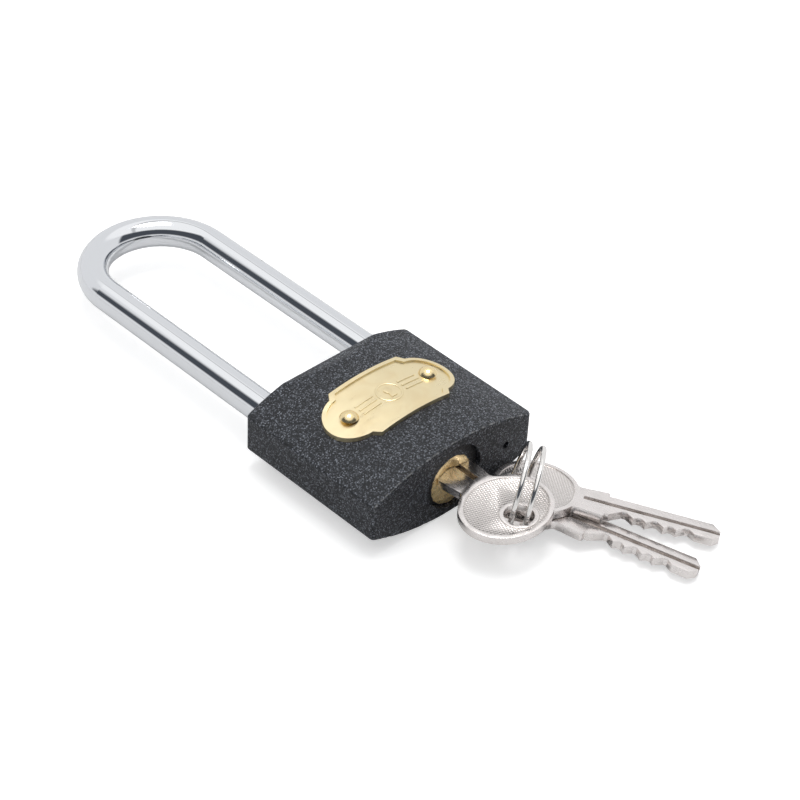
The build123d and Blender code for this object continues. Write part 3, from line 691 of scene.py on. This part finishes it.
# cylinder and badge: copies with rounded edges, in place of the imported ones
cylinderCopy = {"shellEdge": 0.35, "plugEdge": 0.12}
shell = refinedCopy("cylinder_shell", "brassShell", cylinderCopy["shellEdge"])
shell.data.materials.append(cylinderMetal)
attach(shell, "lock")
plug = refinedCopy("plug", "brassPlug", cylinderCopy["plugEdge"])
plug.data.materials.append(cylinderMetal)
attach(plug, "plug")
print("cylinder refined")

badge = {"edge": 0.22, "steps": 3, "thickness": 0.7, "crownRise": 5.5}
plate = refinedCopy("badge_plate", "badgePlate", badge["edge"], badge["steps"], broad=True)
plate.data.materials.append(badgeMetal)
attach(plate, "lock")
print("badge refined")

# low embossing on the badge's middle: a keyhole in a ring, with three plain bars on each side
emblem = {
    "relief": 0.15,
    "ringRadius": 3.0,
    "ringWidth": 0.6,
    "holeRadius": 1.0,
    "stemLength": 2.4,
    "stemWidth": (0.8, 1.7),
    "barFrom": 3.9,
    "barTo": 9.2,
    "barWidth": 0.5,
    "barRows": (-1.5, 0.0, 1.5),
    "barCuts": 7,            # so that a bar can follow the plate's curve
    "holeAt": 0.6,           # above the plate's middle
    "ringSides": (48, 10),
    "holeSides": 32,
    "softening": 0.6,        # as a share of the relief
    "shadeAngle": 50,
}


def layOnPlate(piece):
    # bends a flat piece on to the curve of the plate's field
    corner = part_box("lock_body")[1]
    rise = badge["crownRise"] * mm
    radius = (corner.x ** 2 + rise ** 2) / (2 * rise)
    centre = corner.z - radius
    fieldRadius = radius + badge["thickness"] * mm
    for vertex in piece.data.vertices:
        vertex.co.z += centre + math.sqrt(fieldRadius ** 2 - vertex.co.x ** 2)


def addBar(fromX, toX, y, width):
    deselectAll()
    bpy.ops.mesh.primitive_cube_add(size=1.0, location=((fromX + toX) / 2 * mm, y * mm, 0))
    bar = bpy.context.object
    bar.scale = ((toX - fromX) * mm, width * mm, 2 * emblem["relief"] * mm)
    bpy.ops.object.transform_apply(location=True, rotation=False, scale=True)
    editMesh(bar)
    bpy.ops.mesh.subdivide(number_cuts=emblem["barCuts"])
    leaveEdit()
    return bar


def makeEmblem():
    plateLow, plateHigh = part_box("badge_plate")
    middleY = (plateLow.y + plateHigh.y) / 2 / mm
    holeY = middleY + emblem["holeAt"]
    shapes = []
    for row in emblem["barRows"]:
        for side in (-1, 1):
            fromX, toX = sorted((side * emblem["barFrom"], side * emblem["barTo"]))
            shapes.append(addBar(fromX, toX, middleY + row, emblem["barWidth"]))
    deselectAll()
    majorSides, minorSides = emblem["ringSides"]
    bpy.ops.mesh.primitive_torus_add(location=(0, middleY * mm, 0), major_segments=majorSides,
                                     minor_segments=minorSides,
                                     major_radius=emblem["ringRadius"] * mm,
                                     minor_radius=emblem["ringWidth"] / 2 * mm)
    hoop = bpy.context.object
    hoop.scale = (1, 1, 2 * emblem["relief"] / emblem["ringWidth"])
    bpy.ops.object.transform_apply(location=True, rotation=False, scale=True)
    shapes.append(hoop)
    deselectAll()
    bpy.ops.mesh.primitive_cylinder_add(vertices=emblem["holeSides"],
                                        radius=emblem["holeRadius"] * mm,
                                        depth=2 * emblem["relief"] * mm,
                                        location=(0, holeY * mm, 0))
    bpy.ops.object.transform_apply(location=True, rotation=False, scale=False)
    shapes.append(bpy.context.object)
    topWidth, footWidth = emblem["stemWidth"]
    stem = addBar(-topWidth / 2, topWidth / 2, holeY - emblem["stemLength"] / 2,
                  emblem["stemLength"])
    for vertex in stem.data.vertices:       # the stem widens downwards
        down = (holeY - vertex.co.y / mm) / emblem["stemLength"]
        vertex.co.x *= 1 + (footWidth / topWidth - 1) * down
    shapes.append(stem)
    deselectAll()
    for shape in shapes:
        shape.select_set(True)
    bpy.context.view_layer.objects.active = shapes[0]
    bpy.ops.object.join()
    raised = bpy.context.object
    raised.name = raised.data.name = "badgeEmblem"
    layOnPlate(raised)
    settle(raised, Matrix.Identity(4))
    softened = raised.modifiers.new("softened", "BEVEL")
    softened.width = emblem["relief"] * emblem["softening"] * mm
    softened.segments = 2
    softened.limit_method = "ANGLE"
    applyModifiers(raised)
    smooth(raised, emblem["shadeAngle"])
    raised.data.materials.append(badgeMetal)
    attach(raised, "lock")


makeEmblem()
print("badge emblem embossed")

# keys: each gets a flat map of its own, so that its knurl lies square to its blade, and yaw is
# where the blade points, in degrees from X
keyPlaces = {
    "key_1": {"body": "plug", "yaw": 90.0},
    "key_2": {"body": "key_2", "yaw": -58.7},
    "key_3": {"body": "key_3", "yaw": -71.7},
}


def keyAxes(node, yaw):
    # the key's shoulder point and its directions along, across and out of its front
    if node == "key_1":
        normal = Vector((0, 0, -1))
        hole = Vector(joints["ring_swing"]["pos_m"])
    else:
        joint = joints[node + "_swing"]
        normal = Vector(joint["axis"]).normalized()
        hole = Vector(joint["pos_m"])
    heading = Vector((math.cos(math.radians(yaw)), math.sin(math.radians(yaw)), 0))
    heading.z = -(normal.x * heading.x + normal.y * heading.y) / normal.z
    along = heading.normalized()
    across = normal.cross(along)
    shoulder = hole - along * keyShape["holeAt"] * mm
    return shoulder, along, across, normal


def makeKey(node, settings):
    key = refinedCopy(node, node.replace("_", "") + "Nickel", keyShape["edge"],
                      keepAngle=keyShape["keepAngle"], shadeAngle=keyShape["shadeAngle"])
    key.data.materials.append(keyMetal)
    shoulder, along, across, normal = keyAxes(node, settings["yaw"])
    flat = key.data.uv_layers.new(name="keyFlat")
    faceUp = key.data.attributes.new("faceUp", "FLOAT", "FACE")
    # marks the groove floors, where the material paints a dark brown shade
    grooveShade = key.data.attributes.new("grooveShade", "FLOAT", "FACE")
    for polygon in key.data.polygons:
        broad = abs(polygon.normal.dot(normal)) > keyShape["broadFace"]
        level = abs((polygon.center - shoulder).dot(normal))
        faceUp.data[polygon.index].value = float(broad)
        grooveShade.data[polygon.index].value = float(broad and level < keyShape["grooveLevel"] * mm)
        for loopIndex in polygon.loop_indices:
            corner = key.data.vertices[key.data.loops[loopIndex].vertex_index].co - shoulder
            flat.data[loopIndex].uv = (corner.dot(along) / mm, corner.dot(across) / mm)
    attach(key, settings["body"])


for node, settings in keyPlaces.items():
    makeKey(node, settings)
print("keys refined")

# split ring: two turns of flat wire, wound with the screw modifier
ringShape = {
    "radius": 9.9,
    "wireAcross": 1.2,       # along the ring's axis
    "wireThick": 1.32,       # from its centre outwards
    "squareness": 2.4,       # 2 is an oval section, and more is squarer
    "pitch": 3.2,
    "turns": 2,
    "azimuth": 124.0,        # which way the ring's axis points, in degrees
    "elevation": 11.9,
    "start": 31.8,           # where the wire's end lies round the axis, from its lowest point
    "centre": (7.26, -35.04, 11.63),
    "steps": 128,
    "wireSides": 16,
    "shadeAngle": 40,
}


def makeRing():
    deselectAll()
    radius, power = ringShape["radius"], ringShape["squareness"]
    roundRadius = 0.5 * mm       # of the section before it is squared off
    bpy.ops.mesh.primitive_circle_add(vertices=ringShape["wireSides"], radius=roundRadius,
                                      fill_type="NOTHING", location=(radius * mm, 0, 0),
                                      rotation=(math.pi / 2, 0, 0))
    ring = bpy.context.object
    ring.name = ring.data.name = "splitRing"
    bpy.ops.object.transform_apply(location=True, rotation=True, scale=True)
    for vertex in ring.data.vertices:      # squares the round section off to a flat wire
        x = (vertex.co.x - radius * mm) / roundRadius
        z = vertex.co.z / roundRadius
        grow = (abs(x) ** power + abs(z) ** power) ** (-1 / power)
        vertex.co.x = (radius + x * grow * ringShape["wireThick"] / 2) * mm
        vertex.co.z = z * grow * ringShape["wireAcross"] / 2 * mm
    winding = ring.modifiers.new("winding", "SCREW")
    winding.angle = 2 * math.pi
    winding.screw_offset = ringShape["pitch"] * mm
    winding.iterations = ringShape["turns"]
    winding.steps = winding.render_steps = ringShape["steps"]
    winding.use_merge_vertices = False
    applyModifiers(ring)
    editMesh(ring)
    bpy.ops.mesh.select_all(action="DESELECT")
    bpy.ops.mesh.select_non_manifold()
    bpy.ops.mesh.fill()
    bpy.ops.mesh.select_all(action="SELECT")
    bpy.ops.mesh.normals_make_consistent(inside=False)
    leaveEdit()
    azimuth, elevation = math.radians(ringShape["azimuth"]), math.radians(ringShape["elevation"])
    up = Vector((math.cos(elevation) * math.cos(azimuth),
                 math.cos(elevation) * math.sin(azimuth), math.sin(elevation)))
    down = Vector((0, 0, -1)) + up * up.z
    first = Quaternion(up, math.radians(ringShape["start"])) @ down.normalized()
    side = up.cross(first)
    turn = Matrix((first, side, up)).transposed().to_4x4()
    base = Vector(ringShape["centre"]) * mm - up * ringShape["pitch"] * ringShape["turns"] / 2 * mm
    settle(ring, Matrix.Translation(base) @ turn)
    smooth(ring, ringShape["shadeAngle"])
    ring.data.materials.append(ringMetal)
    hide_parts("split_ring")
    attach(ring, "ring")


makeRing()
print("split ring wound")

# stage, lights and camera
studio = {
    "floorSize": 8.0,
    "floorColour": (0.72, 0.72, 0.72, 1.0),
    "white": (1.0, 1.0, 1.0, 1.0),           # the floor's glow and the backdrop
    "floorRoughness": 0.6,
    "floorGlow": 0.52,                       # seen only by the camera
    "wall": (0.83, 0.835, 0.845, 1.0),
    "softbox": (1.04, 1.04, 1.04, 1.0),
    "softboxFrom": (0.69, 0.76),             # height of its edge, as the sine of its elevation
    "seam": (0.028, 0.060),                  # half width of the joint across it
    "seamLean": 0.332,
    "seamShade": 0.5,
    "screen": (0.070, 0.078, 0.092, 1.0),    # dark screen on the camera's side
    "screenEdge": (-0.14, -0.04),
    "screenFoot": (0.15, 0.27),              # height of its lower edge
}

deselectAll()
bpy.ops.mesh.primitive_plane_add(size=studio["floorSize"], location=(0, 0, cadLow.z))
floor = bpy.context.object
floor.name = "floor"
floorMaterial, floorTree, floorShader = newMaterial("paleFloor")[:3]
floorShader.inputs["Base Color"].default_value = studio["floorColour"]
floorShader.inputs["Roughness"].default_value = studio["floorRoughness"]
floorShader.inputs["Emission Color"].default_value = studio["white"]
seenDirectly = addNode(floorTree, "ShaderNodeLightPath").outputs["Is Camera Ray"]
floorTree.links.new(multiply(floorTree, seenDirectly, studio["floorGlow"]),
                    floorShader.inputs["Emission Strength"])
floor.data.materials.append(floorMaterial)

cameraView = {
    "azimuth": -45.79,
    "elevation": 38.90,
    "distance": 0.567,
    "roll": 3.2,
    "lens": 110.1,
    "aim": (9.52, 6.43),         # from the body's middle, in millimetres
    "sensor": 36.0,
    "clip": (0.01, 50.0),
}


def pointingAway(azimuth, elevation):
    # azimuth nought is in front of the keyhole end, and the angles are in degrees
    turn, height = math.radians(azimuth), math.radians(elevation)
    return Vector((math.sin(turn) * math.cos(height), -math.cos(turn) * math.cos(height),
                   math.sin(height)))


bodyLow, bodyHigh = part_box("lock_body")
bodyMiddle = (bodyLow + bodyHigh) / 2
shackleLow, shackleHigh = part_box("shackle")
middleHeight = (shackleLow.z + shackleHigh.z) / 2
back = pointingAway(cameraView["azimuth"], cameraView["elevation"])
aim = Vector((bodyMiddle.x + cameraView["aim"][0] * mm, bodyMiddle.y + cameraView["aim"][1] * mm,
              middleHeight))
cameraData = bpy.data.cameras.new("camera")
camera = bpy.data.objects.new("camera", cameraData)
bpy.context.scene.collection.objects.link(camera)
cameraData.sensor_width = cameraView["sensor"]
cameraData.lens = cameraView["lens"]
cameraData.clip_start, cameraData.clip_end = cameraView["clip"]
camera.location = aim + back * cameraView["distance"]
camera.rotation_mode = "QUATERNION"
camera.rotation_quaternion = ((-back).to_track_quat("-Z", "Y")
                              @ Quaternion((0, 0, 1), math.radians(cameraView["roll"])))
bpy.context.scene.camera = camera


lightSet = {
    "overhead": {"azimuth": 130, "elevation": 84, "distance": 1.1, "size": 0.45, "power": 4.0,
                 "colour": (1.0, 1.0, 1.0), "mirrored": True},
    "leftSide": {"azimuth": -115, "elevation": 48, "distance": 1.2, "size": 0.7, "power": 1.0,
                 "colour": (1.0, 0.99, 0.97), "mirrored": False},
    "rightBack": {"azimuth": 100, "elevation": 35, "distance": 1.3, "size": 0.6, "power": 2.0,
                  "colour": (0.97, 0.985, 1.0), "mirrored": False},
}


def addLight(name, settings):
    offset = pointingAway(settings["azimuth"], settings["elevation"]) * settings["distance"]
    data = bpy.data.lights.new(name, "AREA")
    data.shape = "RECTANGLE"
    data.size = data.size_y = settings["size"]
    data.energy = settings["power"]
    data.color = settings["colour"]
    light = bpy.data.objects.new(name, data)
    bpy.context.scene.collection.objects.link(light)
    light.location = bodyMiddle + offset
    light.rotation_mode = "QUATERNION"
    light.rotation_quaternion = (-offset).to_track_quat("-Z", "Y")
    light.visible_glossy = settings["mirrored"]


for name, settings in lightSet.items():
    addLight(name, settings)

# room: grey walls, a softbox overhead with one joint across it, and a dark screen behind the
# camera, up to the softbox, which metal mirrors as a sharp stripe
world = bpy.data.worlds.new("studioRoom")
bpy.context.scene.world = world
world.use_nodes = True
room = world.node_tree
background = room.nodes["Background"]
direction = addNode(room, "ShaderNodeTexCoord").outputs["Generated"]
toCamera = Vector((back.x, back.y, 0)).normalized()
facing = addNode(room, "ShaderNodeVectorMath", {0: direction, 1: tuple(toCamera)},
                 operation="DOT_PRODUCT").outputs["Value"]
heading = splitAxes(room, direction)
overhead = mapRange(room, heading["Z"], *studio["softboxFrom"])
seam = mathNode(room, "MULTIPLY_ADD", heading["Z"], -studio["seamLean"], heading["X"])
seam = mapRange(room, mathNode(room, "ABSOLUTE", seam), *reversed(studio["seam"]))
behindCamera = multiply(room, mapRange(room, facing, *studio["screenEdge"]),
                        mapRange(room, heading["Z"], *studio["screenFoot"]))
surround = mixColour(room, behindCamera, studio["wall"], studio["screen"])
light = mixColour(room, overhead, surround, studio["softbox"])
seamShade = multiply(room, multiply(room, seam, overhead), studio["seamShade"])
light = mixColour(room, seamShade, light, studio["screen"])
seenDirectly = addNode(room, "ShaderNodeLightPath").outputs["Is Camera Ray"]
room.links.new(mixColour(room, seenDirectly, light, studio["white"]), background.inputs["Color"])
bpy.context.scene.view_settings.view_transform = "Standard"
print("studio set")
